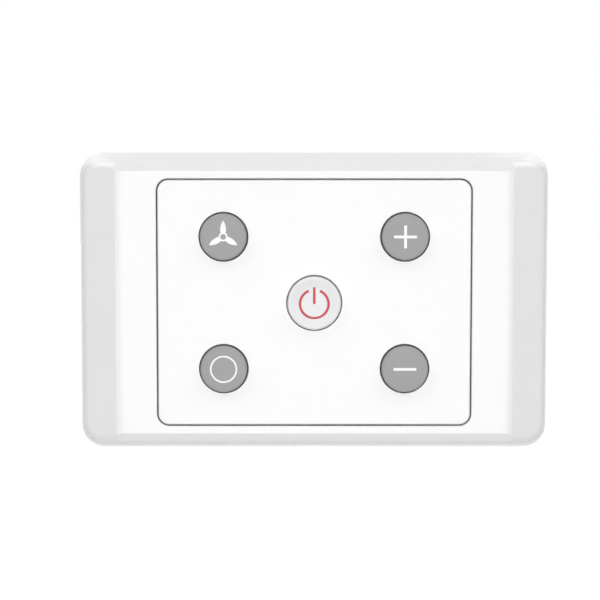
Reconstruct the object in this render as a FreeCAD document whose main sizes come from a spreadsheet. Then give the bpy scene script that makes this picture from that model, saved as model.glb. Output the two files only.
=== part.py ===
"""Wall-mounted fan speed control with five push buttons.

Each piece is modelled face-on: local x runs to the right, local y up, and local z out of the wall
towards the user, with z = 0 on the wall plane. UPRIGHT then stands every piece up in the part's
frame, where +Z is up and -Y faces the user. A level is a distance in front of the wall plane.
"""

import FreeCAD, Part
import math
import os
import re
import Sketcher

Vector = FreeCAD.Vector
UPRIGHT = FreeCAD.Placement(Vector(0, 0, 0), FreeCAD.Rotation(Vector(1, 0, 0), 90))
SAME_LEVEL = 1e-4
LEAST_CUT = 1e-6
TERMINAL_WAYS = 4
CHIP_LEADS_A_SIDE = 8
VENTS = 7

# Driving dimensions, in millimetres

SIZES = {
    "plate_width": 117.0,
    "plate_height": 74.0,
    "plate_depth": 9.0,
    "plate_corner": 5.7,
    "bevel_drop": 2.6,
    "side_draft": 1.5,
    "side_bevel": 8.2,
    "end_inset": 4.8,
    "edge_round": 2.3,
    "cover_wall": 2.0,
    "window_gap": 0.35,
    "window_lip": 1.3,
    "window_lip_depth": 1.0,
    "end_border": 6.95,
    "panel_corner": 2.65,
    "panel_edge": 0.25,
    "panel_thickness": 1.8,
    "panel_wall": 2.4,
    "cavity_corner": 1.6,
    "flange_gap": 0.3,
    "flange_thickness": 2.4,
    "fixing_spacing": 84.0,
    "fixing_margin": 3.65,
    "fixing_width": 3.8,
    "fixing_length": 5.4,
    "catch_spacing": 60.0,
    "catch_width": 10.0,
    "catch_reach": 0.7,
    "catch_depth": 1.0,
    "catch_gap": 0.2,
    "pry_width": 8.0,
    "pry_depth": 1.2,
    "button_inset_across": 16.15,
    "button_inset_up": 13.85,
    "button_hole": 12.0,
    "power_hole": 13.5,
    "cap_gap": 0.3,
    "power_cap_gap": 0.25,
    "cap_proud": 1.5,
    "cap_edge": 0.35,
    "cap_rim": 0.3,
    "cap_dish": 0.45,
    "cap_dish_floor": 7.6,
    "collar_depth": 1.2,
    "collar_wall": 1.2,
    "cap_flange": 1.1,
    "cap_flange_thickness": 1.0,
    "cap_rest_gap": 0.1,
    "key_width": 1.2,
    "key_reach": 0.8,
    "key_tall": 0.9,
    "key_gap": 0.2,
    "rib_width": 1.0,
    "cap_stem": 3.2,
    "cap_stem_rib": 1.0,
    "cap_stem_length": 1.3,
    "button_travel": 0.5,
    "switch_side": 6.0,
    "switch_tall": 3.5,
    "switch_foot_width": 0.8,
    "switch_foot_reach": 1.0,
    "switch_foot_thickness": 0.3,
    "switch_foot_spacing": 4.5,
    "plunger_across": 3.2,
    "plunger_edge": 0.3,
    "plunger_proud": 0.8,
    "plunger_depth": 1.2,
    "plunger_gap": 0.08,
    "board_thickness": 1.6,
    "board_gap": 0.3,
    "board_corner": 1.0,
    "housing_inset_across": 6.35,
    "housing_inset_up": 6.05,
    "housing_depth": 24.0,
    "housing_step_depth": 15.0,
    "housing_step_height": 13.5,
    "housing_corner": 3.0,
    "housing_wall": 1.8,
    "housing_flange": 1.6,
    "housing_flange_gap": 0.3,
    "housing_edge": 0.9,
    "vent_width": 1.4,
    "vent_length": 9.0,
    "vent_pitch": 4.2,
    "rebate_depth": 2.0,
    "rebate_margin": 1.1,
    "screw_inset": 5.4,
    "screw_across": 2.9,
    "screw_gap": 0.1,
    "screw_length": 15.0,
    "screw_head_across": 5.4,
    "screw_head_tall": 2.0,
    "screw_recess_width": 0.8,
    "screw_recess_across": 3.0,
    "screw_recess_depth": 1.0,
    "screw_seat_depth": 12.5,
    "column_across": 6.4,
    "boss_across": 6.0,
    "boss_pilot_depth": 5.0,
    "terminal_pitch": 8.0,
    "terminal_margin": 1.0,
    "terminal_wall": 1.8,
    "terminal_cap": 3.1,
    "terminal_gap": 0.3,
    "wire_bore": 3.8,
    "wire_entry_flare": 0.4,
    "clamp_width": 5.6,
    "clamp_tall": 7.4,
    "clamp_length": 8.0,
    "clamp_gap": 0.1,
    "clamp_set_back": 1.2,
    "clamp_floor": 1.0,
    "clamp_bore_level": 2.6,
    "clamp_screw_across": 3.4,
    "clamp_screw_gap": 0.15,
    "clamp_screw_sunk": 0.4,
    "clamp_slot_width": 0.8,
    "clamp_slot_depth": 0.9,
    "lamp_across": 3.0,
    "lamp_tall": 1.6,
    "lamp_offset": 5.4,
    "chip_width": 10.3,
    "chip_height": 7.5,
    "chip_tall": 2.3,
    "chip_lead_width": 0.5,
    "chip_lead_pitch": 1.27,
    "chip_lead_reach": 1.4,
    "chip_lead_thickness": 0.3,
    "speed_capacitor_width": 15.5,
    "speed_capacitor_height": 8.0,
    "speed_capacitor_tall": 10.5,
    "speed_capacitor_corner": 0.8,
    "relay_width": 15.5,
    "relay_height": 10.0,
    "relay_tall": 15.0,
    "relay_corner": 0.6,
    "smoothing_across": 6.3,
    "smoothing_tall": 11.0,
    "smoothing_edge": 0.5,
    "rectifier_width": 8.4,
    "rectifier_height": 5.6,
    "rectifier_tall": 3.0,
    "rectifier_corner": 0.6,
    "fuse_width": 4.0,
    "fuse_height": 8.5,
    "fuse_tall": 8.0,
    "fuse_corner": 0.5,
    "suppressor_across": 9.0,
    "suppressor_thickness": 3.8,
    "suppressor_lead": 1.6,
    "component_lead": 0.8,
    "component_gap": 0.7,
}

doc = FreeCAD.newDocument("fan_speed_control")
sheet = doc.addObject("Spreadsheet::Sheet", "sizes")
for row, (alias, size) in enumerate(SIZES.items(), start=1):
    sheet.set(f"A{row}", alias.replace("_", " "))
    sheet.set(f"B{row}", str(size))
    sheet.setAlias(f"B{row}", alias)
doc.recompute()

# Sizes worked out from the driving ones, as expressions

PANEL_WIDTH = "(fixing_spacing - 2 * fixing_margin)"
PANEL_HEIGHT = "(plate_height - 2 * end_border)"
BUTTON_ACROSS = f"({PANEL_WIDTH} / 2 - button_inset_across)"
BUTTON_UP = f"({PANEL_HEIGHT} / 2 - button_inset_up)"
HOUSING_WIDTH = f"({PANEL_WIDTH} - 2 * housing_inset_across)"
HOUSING_HEIGHT = f"({PANEL_HEIGHT} - 2 * housing_inset_up)"
SCREW_ACROSS = f"({HOUSING_WIDTH} / 2 - screw_inset)"
BELOW_FACE = "(plate_depth - 0.01)"
SIDE_DEPTH = "(plate_depth - bevel_drop)"
CAVITY_WIDTH = "(plate_width - 2 * cover_wall)"
CAVITY_HEIGHT = "(plate_height - 2 * cover_wall)"
CAVITY_CORNER = "(plate_corner - cover_wall)"
WINDOW_WIDTH = f"({PANEL_WIDTH} + 2 * window_gap)"
WINDOW_HEIGHT = f"({PANEL_HEIGHT} + 2 * window_gap)"
WINDOW_CORNER = "(panel_corner + window_gap)"
FLANGE_DRAFT = f"(side_draft * flange_thickness / {SIDE_DEPTH})"
FLANGE_WIDTH = f"({CAVITY_WIDTH} - 2 * {FLANGE_DRAFT} - 2 * flange_gap)"
FLANGE_HEIGHT = f"({CAVITY_HEIGHT} - 2 * {FLANGE_DRAFT} - 2 * flange_gap)"
PANEL_BACK = "(plate_depth - panel_thickness)"
COLLAR_BACK = f"({PANEL_BACK} - collar_depth)"
CAP_FLANGE_FRONT = f"({COLLAR_BACK} - cap_rest_gap)"
CAP_FLANGE_BACK = f"({CAP_FLANGE_FRONT} - cap_flange_thickness)"
CAP_FRONT = "(plate_depth + cap_proud)"
PLUNGER_FRONT = f"({CAP_FLANGE_BACK} - cap_stem_length)"
SWITCH_FRONT = f"({PLUNGER_FRONT} - plunger_proud)"
BOARD_FRONT = f"({SWITCH_FRONT} - switch_tall)"
BOARD_BACK = f"({BOARD_FRONT} - board_thickness)"
INNER_WIDTH = f"({HOUSING_WIDTH} - 2 * housing_wall)"
INNER_HEIGHT = f"({HOUSING_HEIGHT} - 2 * housing_wall)"
BOARD_WIDTH = f"({INNER_WIDTH} - 2 * board_gap)"
BOARD_HEIGHT = f"({INNER_HEIGHT} - 2 * board_gap)"
REBATE_WIDTH = f"({PANEL_WIDTH} - 2 * panel_wall + 2 * rebate_margin)"
REBATE_HEIGHT = f"({PANEL_HEIGHT} - 2 * panel_wall + 2 * rebate_margin)"
HOUSING_FLANGE_BACK = "(rebate_depth - housing_flange)"
TERMINAL_WIDTH = f"({TERMINAL_WAYS} * terminal_pitch + 2 * terminal_margin)"
TERMINAL_HEIGHT = "(clamp_set_back + clamp_length + terminal_wall)"
TERMINAL_TALL = "(clamp_floor + clamp_tall + terminal_cap)"
TERMINAL_BOTTOM = f"(housing_wall + terminal_gap - {HOUSING_HEIGHT} / 2)"
TERMINAL_BACK = f"({BOARD_BACK} - {TERMINAL_TALL})"
CLAMP_FRONT = f"({BOARD_BACK} - clamp_floor)"
CLAMP_BACK = f"({CLAMP_FRONT} - clamp_tall)"
WIRE_LEVEL = f"({CLAMP_FRONT} - clamp_bore_level)"
CLAMP_BOTTOM = f"({TERMINAL_BOTTOM} + clamp_set_back)"
CLAMP_MIDDLE = f"({CLAMP_BOTTOM} + clamp_length / 2)"
SCREW_SEAT = "(-screw_seat_depth)"
SCREW_HOLE = "(screw_across / 2 + screw_gap)"


def bound(expression):
    """The expression with each driving dimension's name pointed at the sheet."""
    return re.sub(
        r"[a-z_]{3,}",
        lambda word: f"sizes.{word.group()}" if word.group() in SIZES else word.group(),
        expression,
    )


def number(expression):
    """The expression's present value, in millimetres or degrees."""
    found = sheet.evalExpression(bound(expression))
    return float(getattr(found, "Value", found))


def bind(item, prop, expression):
    item.setExpression(prop, bound(expression))


# Sketching


def new_body(name):
    body = doc.addObject("PartDesign::Body", name)
    body.Label = name
    body.Placement = UPRIGHT
    return body


def plane_of(body, role):
    return next(o for o in body.Origin.OriginFeatures if o.Role == role)


def new_sketch(body, name, level="0", role="XY_Plane"):
    """A sketch parallel to one of the body's own planes, at a level in front of it."""
    sketch = body.newObject("Sketcher::SketchObject", f"{body.Name}_{name}")
    sketch.AttachmentSupport = [(plane_of(body, role), "")]
    sketch.MapMode = "FlatFace"
    if level != "0":
        bind(sketch, "AttachmentOffset.Base.z", level)
    return sketch


def hold(sketch, kind, *where_and_size):
    """A driven constraint, whose last argument is the expression of its size."""
    *where, size = where_and_size
    index = sketch.addConstraint(Sketcher.Constraint(kind, *where, number(size)))
    bind(sketch, f"Constraints[{index}]", size)


def place_point(sketch, geometry, point, across, up):
    """Fixes a point of the sketch by its two distances from the origin."""
    for kind, distance, axis in (("DistanceX", across, -2), ("DistanceY", up, -1)):
        if distance == "0":
            sketch.addConstraint(Sketcher.Constraint("PointOnObject", geometry, point, axis))
        else:
            hold(sketch, kind, -1, 1, geometry, point, distance)


def line(sketch, start, end):
    return sketch.addGeometry(Part.LineSegment(Vector(*start, 0), Vector(*end, 0)), False)


def add_outline(sketch, corners):
    """A closed outline of straight lines, each corner given as (across, up) expressions."""
    points = [(number(across), number(up)) for across, up in corners]
    count = len(points)
    lines = [line(sketch, points[i], points[(i + 1) % count]) for i in range(count)]
    for i in range(count):
        joint = Sketcher.Constraint("Coincident", lines[i], 2, lines[(i + 1) % count], 1)
        sketch.addConstraint(joint)
    for index, (across, up) in zip(lines, corners):
        place_point(sketch, index, 1, across, up)


def add_rectangle(sketch, wide, tall, across="0", up="0"):
    left, right = f"{across} - {wide} / 2", f"{across} + {wide} / 2"
    low, high = f"{up} - {tall} / 2", f"{up} + {tall} / 2"
    add_outline(sketch, [(left, low), (right, low), (right, high), (left, high)])


def add_rounded_rectangle(sketch, wide, tall, radius, across="0", up="0"):
    """Four lines and four tangent arcs about a centre."""
    w, t, r = number(wide) / 2, number(tall) / 2, number(radius)
    x, y = number(across), number(up)
    quarter = math.pi / 2
    bottom = line(sketch, (x - w + r, y - t), (x + w - r, y - t))
    right = line(sketch, (x + w, y - t + r), (x + w, y + t - r))
    top = line(sketch, (x + w - r, y + t), (x - w + r, y + t))
    left = line(sketch, (x - w, y + t - r), (x - w, y - t + r))
    arcs = []
    for turn, (sx, sy) in enumerate(((1, -1), (1, 1), (-1, 1), (-1, -1))):
        centre = Vector(x + sx * (w - r), y + sy * (t - r), 0)
        circle = Part.Circle(centre, Vector(0, 0, 1), r)
        start = (turn - 1) * quarter
        arcs.append(sketch.addGeometry(Part.ArcOfCircle(circle, start, start + quarter), False))
    sides = [bottom, right, top, left]
    for i, arc in enumerate(arcs):
        sketch.addConstraint(Sketcher.Constraint("Tangent", sides[i], 2, arc, 1))
        sketch.addConstraint(Sketcher.Constraint("Tangent", arc, 2, sides[(i + 1) % 4], 1))
    for flat in (bottom, top):
        sketch.addConstraint(Sketcher.Constraint("Horizontal", flat))
    for upright in (right, left):
        sketch.addConstraint(Sketcher.Constraint("Vertical", upright))
    for arc in arcs[1:]:
        sketch.addConstraint(Sketcher.Constraint("Equal", arcs[0], arc))
    hold(sketch, "Radius", arcs[0], radius)
    hold(sketch, "DistanceX", -1, 1, left, 1, f"{across} - {wide} / 2")
    hold(sketch, "DistanceX", -1, 1, right, 1, f"{across} + {wide} / 2")
    hold(sketch, "DistanceY", -1, 1, bottom, 1, f"{up} - {tall} / 2")
    hold(sketch, "DistanceY", -1, 1, top, 1, f"{up} + {tall} / 2")


def add_circle(sketch, radius, across="0", up="0"):
    centre = Vector(number(across), number(up), 0)
    index = sketch.addGeometry(Part.Circle(centre, Vector(0, 0, 1), number(radius)), False)
    hold(sketch, "Radius", index, radius)
    place_point(sketch, index, 3, across, up)


def add_slot(sketch, length, radius, across):
    """A slot lying across, made of two lines and two half circles."""
    half, r, x = number(length) / 2 - number(radius), number(radius), number(across)
    quarter = math.pi / 2
    low = line(sketch, (x - half, -r), (x + half, -r))
    circle = Part.Circle(Vector(x + half, 0, 0), Vector(0, 0, 1), r)
    right = sketch.addGeometry(Part.ArcOfCircle(circle, -quarter, quarter), False)
    high = line(sketch, (x + half, r), (x - half, r))
    circle = Part.Circle(Vector(x - half, 0, 0), Vector(0, 0, 1), r)
    left = sketch.addGeometry(Part.ArcOfCircle(circle, quarter, 3 * quarter), False)
    ring = [low, right, high, left]
    for piece, following in zip(ring, ring[1:] + ring[:1]):
        sketch.addConstraint(Sketcher.Constraint("Tangent", piece, 2, following, 1))
    sketch.addConstraint(Sketcher.Constraint("Horizontal", low))
    hold(sketch, "Radius", right, radius)
    place_point(sketch, left, 3, f"{across} - ({length} / 2 - {radius})", "0")
    hold(sketch, "DistanceX", -1, 1, right, 3, f"{across} + ({length} / 2 - {radius})")


def add_cross(sketch, span, rib):
    """An upright cross about the origin, made of two ribs of one width."""
    quarter = [(f"{rib} / 2", f"{rib} / 2"), (f"{rib} / 2", f"{span} / 2"), (f"-{rib} / 2", f"{span} / 2")]
    corners = []
    for _ in range(4):
        corners += quarter
        quarter = [(f"-({up})", across) for across, up in quarter]
    add_outline(sketch, corners)


def add_cut_rectangle(sketch, wide, tall, corner, across="0", up="0"):
    """A rectangle about a centre, with its four corners cut off at 45 degrees."""
    left, right = f"{across} - {wide} / 2", f"{across} + {wide} / 2"
    low, high = f"{up} - {tall} / 2", f"{up} + {tall} / 2"
    add_outline(sketch, [
        (f"{left} + {corner}", low),
        (f"{right} - {corner}", low),
        (right, f"{low} + {corner}"),
        (right, f"{high} - {corner}"),
        (f"{right} - {corner}", high),
        (f"{left} + {corner}", high),
        (left, f"{high} - {corner}"),
        (left, f"{low} + {corner}"),
    ])


def draw_turned(body, name, corners):
    """A closed half profile to turn about the body's own axis, as (radius, level) corners."""
    sketch = new_sketch(body, name, role="XZ_Plane")
    add_outline(sketch, corners)
    return sketch


# Features


def finish_feature(body, feature, what):
    doc.recompute()
    for state in feature.State:
        if state in ("Invalid", "Error"):
            raise RuntimeError(f"{feature.Name} ({what}) failed")
    body.Tip = feature
    return feature


def pad(body, sketch, length, backwards=False):
    feature = body.newObject("PartDesign::Pad", f"{sketch.Name}_pad")
    feature.Profile = sketch
    feature.Reversed = backwards
    bind(feature, "Length", length)
    sketch.Visibility = False
    return finish_feature(body, feature, "pad")


def pocket(body, sketch, length, forwards=True):
    """Cuts from the sketch towards the user, or away from them, and makes sure that it cut."""
    before = body.Shape.Volume
    feature = body.newObject("PartDesign::Pocket", f"{sketch.Name}_pocket")
    feature.Profile = sketch
    feature.Reversed = forwards
    bind(feature, "Length", length)
    finish_feature(body, feature, "pocket")
    if body.Shape.Volume >= before - LEAST_CUT:
        raise RuntimeError(f"{feature.Name} cut nothing")
    return feature


def pocket_through(body, sketch, length):
    """Cuts the same distance to both sides of the sketch."""
    before = body.Shape.Volume
    feature = body.newObject("PartDesign::Pocket", f"{sketch.Name}_pocket")
    feature.Profile = sketch
    feature.Midplane = True
    bind(feature, "Length", length)
    finish_feature(body, feature, "pocket")
    if body.Shape.Volume >= before - LEAST_CUT:
        raise RuntimeError(f"{feature.Name} cut nothing")
    return feature


def revolve(body, sketch):
    feature = body.newObject("PartDesign::Revolution", f"{sketch.Name}_turned")
    feature.Profile = sketch
    feature.ReferenceAxis = (sketch, ["V_Axis"])
    feature.Angle = 360.0
    return finish_feature(body, feature, "revolution")


def loft(body, sketches, cut=False):
    kind = "SubtractiveLoft" if cut else "AdditiveLoft"
    feature = body.newObject(f"PartDesign::{kind}", f"{sketches[0].Name}_loft")
    feature.Profile = sketches[0]
    feature.Sections = sketches[1:]
    feature.Ruled = True
    return finish_feature(body, feature, "loft")


def edges_between(shape, low, high):
    """Names of the edges that lie wholly between two levels, in the piece's own face-on frame."""
    low, high = number(low) - SAME_LEVEL, number(high) + SAME_LEVEL
    found = [
        f"Edge{i}"
        for i, edge in enumerate(shape.Edges, start=1)
        if edge.BoundBox.ZMin > low and edge.BoundBox.ZMax < high
    ]
    if not found:
        raise RuntimeError(f"no edges between levels {low} and {high}")
    return found


def round_edges(body, low, high, radius):
    """Fillets every edge of the body so far that lies between two levels."""
    base = body.Tip
    feature = body.newObject("PartDesign::Fillet", f"{base.Name}_rounded")
    feature.Base = (base, edges_between(base.Shape, low, high))
    bind(feature, "Radius", radius)
    return finish_feature(body, feature, "fillet")


def bevel_edges(body, level, size):
    """Chamfers every edge of the body so far that lies at one level."""
    base = body.Tip
    feature = body.newObject("PartDesign::Chamfer", f"{base.Name}_bevelled")
    feature.Base = (base, edges_between(base.Shape, level, level))
    bind(feature, "Size", size)
    return finish_feature(body, feature, "chamfer")


def stand_at(item, across, up):
    """Moves an upright piece to its place across and up, bound to the sheet."""
    bind(item, "Placement.Base.x", across)
    bind(item, "Placement.Base.z", up)


# The four outer buttons, as (name, side, height) with signs for left and right, low and high

SIDE_BUTTONS = (("fan", -1, 1), ("plus", 1, 1), ("light", -1, -1), ("minus", 1, -1))
BUTTONS = [
    (name, f"{side} * {BUTTON_ACROSS}", f"{height} * {BUTTON_UP}", "button_hole", "cap_gap")
    for name, side, height in SIDE_BUTTONS
]
BUTTONS.append(("power", "0", "0", "power_hole", "power_cap_gap"))
SCREW_PLACES = [f"-{SCREW_ACROSS}", SCREW_ACROSS]
WAY_PLACES = [f"({way - (TERMINAL_WAYS - 1) / 2}) * terminal_pitch" for way in range(TERMINAL_WAYS)]


def bevel_outlines(sketch, crease):
    """Two wedges that leave a flat bevel from the crease outwards, one on each side.

    All bevels share one slope, so that they meet in mitres. Each wedge starts inside the crease by a
    quarter of the side bevel's width, and runs on past the wall.
    """
    high, low = "(plate_depth + bevel_drop / 4)", f"({SIDE_DEPTH} - bevel_drop / 2)"
    for side in (-1, 1):
        inner = f"{side} * ({crease} - side_bevel / 4)"
        outer = f"{side} * ({crease} + side_bevel + side_bevel / 2)"
        add_outline(sketch, [(inner, high), (outer, low), (outer, high)])


def make_cover_plate():
    """Clip-on surround: drafted walls, four flat bevels that meet in mitres, and the window."""
    body = new_body("cover_plate")
    rim = new_sketch(body, "rim")
    add_rounded_rectangle(rim, "plate_width", "plate_height", "plate_corner")
    front = new_sketch(body, "front", "plate_depth")
    draft = f"(side_draft * plate_depth / {SIDE_DEPTH})"
    add_rounded_rectangle(
        front, f"(plate_width - 2 * {draft})", f"(plate_height - 2 * {draft})", f"(plate_corner - {draft})"
    )
    loft(body, [rim, front])
    side_bevels = new_sketch(body, "side_bevels", role="XZ_Plane")
    bevel_outlines(side_bevels, "(plate_width / 2 - side_draft - side_bevel)")
    pocket_through(body, side_bevels, "2 * plate_height")
    end_bevels = new_sketch(body, "end_bevels", role="YZ_Plane")
    bevel_outlines(end_bevels, "(plate_height / 2 - end_inset)")
    pocket_through(body, end_bevels, "2 * plate_width")
    round_edges(body, f"{SIDE_DEPTH} / 2", BELOW_FACE, "edge_round")

    cavity_rim = new_sketch(body, "cavity_rim")
    add_rounded_rectangle(cavity_rim, CAVITY_WIDTH, CAVITY_HEIGHT, CAVITY_CORNER)
    cavity_front = new_sketch(body, "cavity_front", SIDE_DEPTH)
    add_rounded_rectangle(
        cavity_front,
        f"({CAVITY_WIDTH} - 2 * side_draft)",
        f"({CAVITY_HEIGHT} - 2 * side_draft)",
        f"({CAVITY_CORNER} - side_draft)",
    )
    loft(body, [cavity_rim, cavity_front], cut=True)

    lip = new_sketch(body, "lip", f"{SIDE_DEPTH} - window_lip_depth")
    add_rounded_rectangle(
        lip,
        f"({WINDOW_WIDTH} + 2 * window_lip)",
        f"({WINDOW_HEIGHT} + 2 * window_lip)",
        f"({WINDOW_CORNER} + window_lip)",
    )
    pad(body, lip, "window_lip_depth")
    window = new_sketch(body, "window", f"{SIDE_DEPTH} - window_lip_depth")
    add_rounded_rectangle(window, WINDOW_WIDTH, WINDOW_HEIGHT, WINDOW_CORNER)
    pocket(body, window, "bevel_drop + window_lip_depth")

    for side in (-1, 1):
        for height in (-1, 1):
            catch = new_sketch(body, f"catch_{side + 1}_{height + 1}", "catch_gap")
            wall = f"{height} * ({CAVITY_HEIGHT} / 2)"
            nose = f"{height} * ({FLANGE_HEIGHT} / 2 - catch_reach)"
            left = f"{side} * catch_spacing / 2 - catch_width / 2"
            right = f"{side} * catch_spacing / 2 + catch_width / 2"
            root = f"{wall} + {height} * cover_wall / 4"
            add_outline(catch, [(left, nose), (right, nose), (right, root), (left, root)])
            pad(body, catch, "catch_depth")

    pry = new_sketch(body, "pry_slot")
    add_rectangle(pry, "pry_width", "(2 * cover_wall)", "0", "(-plate_height / 2)")
    pocket(body, pry, "pry_depth")
    return body


def add_key_slots(sketch):
    """A notch below each button hole, wide and deep enough for the cap's key."""
    for name, across, up, hole, gap in BUTTONS:
        low = f"({up} - ({hole} / 2 - {gap} + key_reach + key_gap))"
        add_outline(sketch, [
            (f"{across} - key_width / 2 - key_gap", low),
            (f"{across} + key_width / 2 + key_gap", low),
            (f"{across} + key_width / 2 + key_gap", up),
            (f"{across} - key_width / 2 - key_gap", up),
        ])


def make_grid_plate():
    """Fixing flange and raised panel in one, with the button holes and the bosses behind them."""
    body = new_body("grid_plate")
    flange = new_sketch(body, "flange")
    add_rounded_rectangle(flange, FLANGE_WIDTH, FLANGE_HEIGHT, CAVITY_CORNER)
    pad(body, flange, "flange_thickness")
    raised = new_sketch(body, "raised", "flange_thickness")
    add_rounded_rectangle(raised, PANEL_WIDTH, PANEL_HEIGHT, "panel_corner")
    pad(body, raised, "plate_depth - flange_thickness")
    bevel_edges(body, "plate_depth", "panel_edge")

    rebate = new_sketch(body, "rebate")
    add_rounded_rectangle(rebate, REBATE_WIDTH, REBATE_HEIGHT, "panel_corner")
    pocket(body, rebate, "rebate_depth")
    cavity = new_sketch(body, "cavity", "rebate_depth")
    add_rounded_rectangle(
        cavity, f"({PANEL_WIDTH} - 2 * panel_wall)", f"({PANEL_HEIGHT} - 2 * panel_wall)", "cavity_corner"
    )
    pocket(body, cavity, f"{PANEL_BACK} - rebate_depth")

    collars = new_sketch(body, "collars", COLLAR_BACK)
    for name, across, up, hole, gap in BUTTONS:
        side = f"({hole} + 2 * collar_wall)"
        add_rectangle(collars, side, side, across, up)
    pad(body, collars, "collar_depth")
    for sign in (1, -1):
        ribs = new_sketch(body, f"ribs_{sign + 1}", COLLAR_BACK)
        add_rectangle(ribs, f"(2 * {BUTTON_ACROSS})", "rib_width", "0", f"{sign} * {BUTTON_UP}")
        pad(body, ribs, "collar_depth")
        ribs = new_sketch(body, f"upright_ribs_{sign + 1}", COLLAR_BACK)
        add_rectangle(ribs, "rib_width", f"(2 * {BUTTON_UP})", f"{sign} * {BUTTON_ACROSS}")
        pad(body, ribs, "collar_depth")
    holes = new_sketch(body, "holes", COLLAR_BACK)
    for name, across, up, hole, gap in BUTTONS:
        add_circle(holes, f"{hole} / 2", across, up)
    pocket(body, holes, "collar_depth + panel_thickness")
    key_slots = new_sketch(body, "key_slots", COLLAR_BACK)
    add_key_slots(key_slots)
    pocket(body, key_slots, "collar_depth")

    bosses = new_sketch(body, "bosses", BOARD_FRONT)
    for across in SCREW_PLACES:
        add_rectangle(bosses, "boss_across", "boss_across", across)
    pad(body, bosses, f"{PANEL_BACK} - {BOARD_FRONT}")
    pilots = new_sketch(body, "pilots", BOARD_FRONT)
    for across in SCREW_PLACES:
        add_circle(pilots, SCREW_HOLE, across)
    pocket(body, pilots, "boss_pilot_depth")

    slots = new_sketch(body, "fixing_slots")
    for side in (-1, 1):
        add_slot(slots, "fixing_length", "fixing_width / 2", f"{side} * fixing_spacing / 2")
    pocket(body, slots, "flange_thickness")

    notches = new_sketch(body, "catch_notches")
    for side in (-1, 1):
        for height in (-1, 1):
            edge = f"{height} * {FLANGE_HEIGHT} / 2"
            inner = f"{edge} - {height} * (catch_reach + catch_gap)"
            outer = f"{edge} + {height} * catch_reach"
            left = f"{side} * catch_spacing / 2 - catch_width / 2 - catch_gap"
            right = f"{side} * catch_spacing / 2 + catch_width / 2 + catch_gap"
            add_outline(notches, [(left, inner), (right, inner), (right, outer), (left, outer)])
    pocket(body, notches, "catch_depth + 2 * catch_gap")
    return body


def make_rear_housing():
    """Stepped box behind the panel: screw columns, a hatch for the terminals and vents on top."""
    body = new_body("rear_housing")
    flange = new_sketch(body, "flange", HOUSING_FLANGE_BACK)
    add_rounded_rectangle(
        flange,
        f"({REBATE_WIDTH} - 2 * housing_flange_gap)",
        f"({REBATE_HEIGHT} - 2 * housing_flange_gap)",
        "panel_corner - housing_flange_gap",
    )
    pad(body, flange, "housing_flange")
    box = new_sketch(body, "box", "-housing_step_depth")
    add_rounded_rectangle(box, HOUSING_WIDTH, HOUSING_HEIGHT, "housing_corner")
    pad(body, box, f"{HOUSING_FLANGE_BACK} + housing_step_depth")
    deep_height = f"({HOUSING_HEIGHT} - housing_step_height)"
    deep_middle = "(housing_step_height / 2)"
    deep = new_sketch(body, "deep_box", "-housing_depth")
    add_rounded_rectangle(deep, HOUSING_WIDTH, deep_height, "housing_corner", "0", deep_middle)
    pad(body, deep, "housing_depth - housing_step_depth")
    bevel_edges(body, "-housing_depth", "housing_edge")

    room = new_sketch(body, "room", "housing_wall - housing_step_depth")
    add_rectangle(room, INNER_WIDTH, INNER_HEIGHT)
    pocket(body, room, "housing_step_depth - housing_wall + rebate_depth")
    deep_room = new_sketch(body, "deep_room", "housing_wall - housing_depth")
    add_rectangle(deep_room, INNER_WIDTH, f"({deep_height} - 2 * housing_wall)", "0", deep_middle)
    pocket(body, deep_room, "housing_depth - housing_step_depth")

    columns = new_sketch(body, "columns", "housing_wall - housing_depth")
    for side in (-1, 1):
        inner = f"{side} * ({SCREW_ACROSS} - column_across / 2)"
        outer = f"{side} * ({HOUSING_WIDTH} / 2 - housing_wall / 2)"
        low, high = "-column_across / 2", "column_across / 2"
        add_outline(columns, [(inner, low), (outer, low), (outer, high), (inner, high)])
    pad(body, columns, f"{BOARD_BACK} - housing_wall + housing_depth")
    wells = new_sketch(body, "screw_wells", "-housing_depth")
    for across in SCREW_PLACES:
        add_circle(wells, "screw_head_across / 2 + screw_gap", across)
    pocket(body, wells, "housing_depth - screw_seat_depth")
    bores = new_sketch(body, "screw_bores", SCREW_SEAT)
    for across in SCREW_PLACES:
        add_circle(bores, SCREW_HOLE, across)
    pocket(body, bores, f"screw_seat_depth + {BOARD_BACK}")

    hatch = new_sketch(body, "terminal_hatch", "-housing_step_depth")
    hatch_low = f"(-{HOUSING_HEIGHT} / 2)"
    hatch_high = f"({TERMINAL_BOTTOM} + {TERMINAL_HEIGHT} + terminal_gap)"
    left = f"-{TERMINAL_WIDTH} / 2 - terminal_gap"
    right = f"{TERMINAL_WIDTH} / 2 + terminal_gap"
    add_outline(hatch, [(left, hatch_low), (right, hatch_low), (right, hatch_high), (left, hatch_high)])
    pocket(body, hatch, f"housing_step_depth + {BOARD_BACK}")

    vents = new_sketch(body, "vents", f"-{HOUSING_HEIGHT} / 2", "XZ_Plane")
    vent_level = "(2 * housing_wall - housing_depth + vent_length / 2)"
    for vent in range(VENTS):
        across = f"({vent - (VENTS - 1) / 2}) * vent_pitch"
        add_rectangle(vents, "vent_width", "vent_length", across, vent_level)
    pocket(body, vents, "housing_wall")
    return body


def make_circuit_board():
    """Laminate cut to the housing, with a hole for each housing screw."""
    body = new_body("circuit_board")
    outline = new_sketch(body, "outline", BOARD_BACK)
    add_cut_rectangle(outline, BOARD_WIDTH, BOARD_HEIGHT, "board_corner")
    for across in SCREW_PLACES:
        add_circle(outline, SCREW_HOLE, across)
    pad(body, outline, "board_thickness")
    return body


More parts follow.
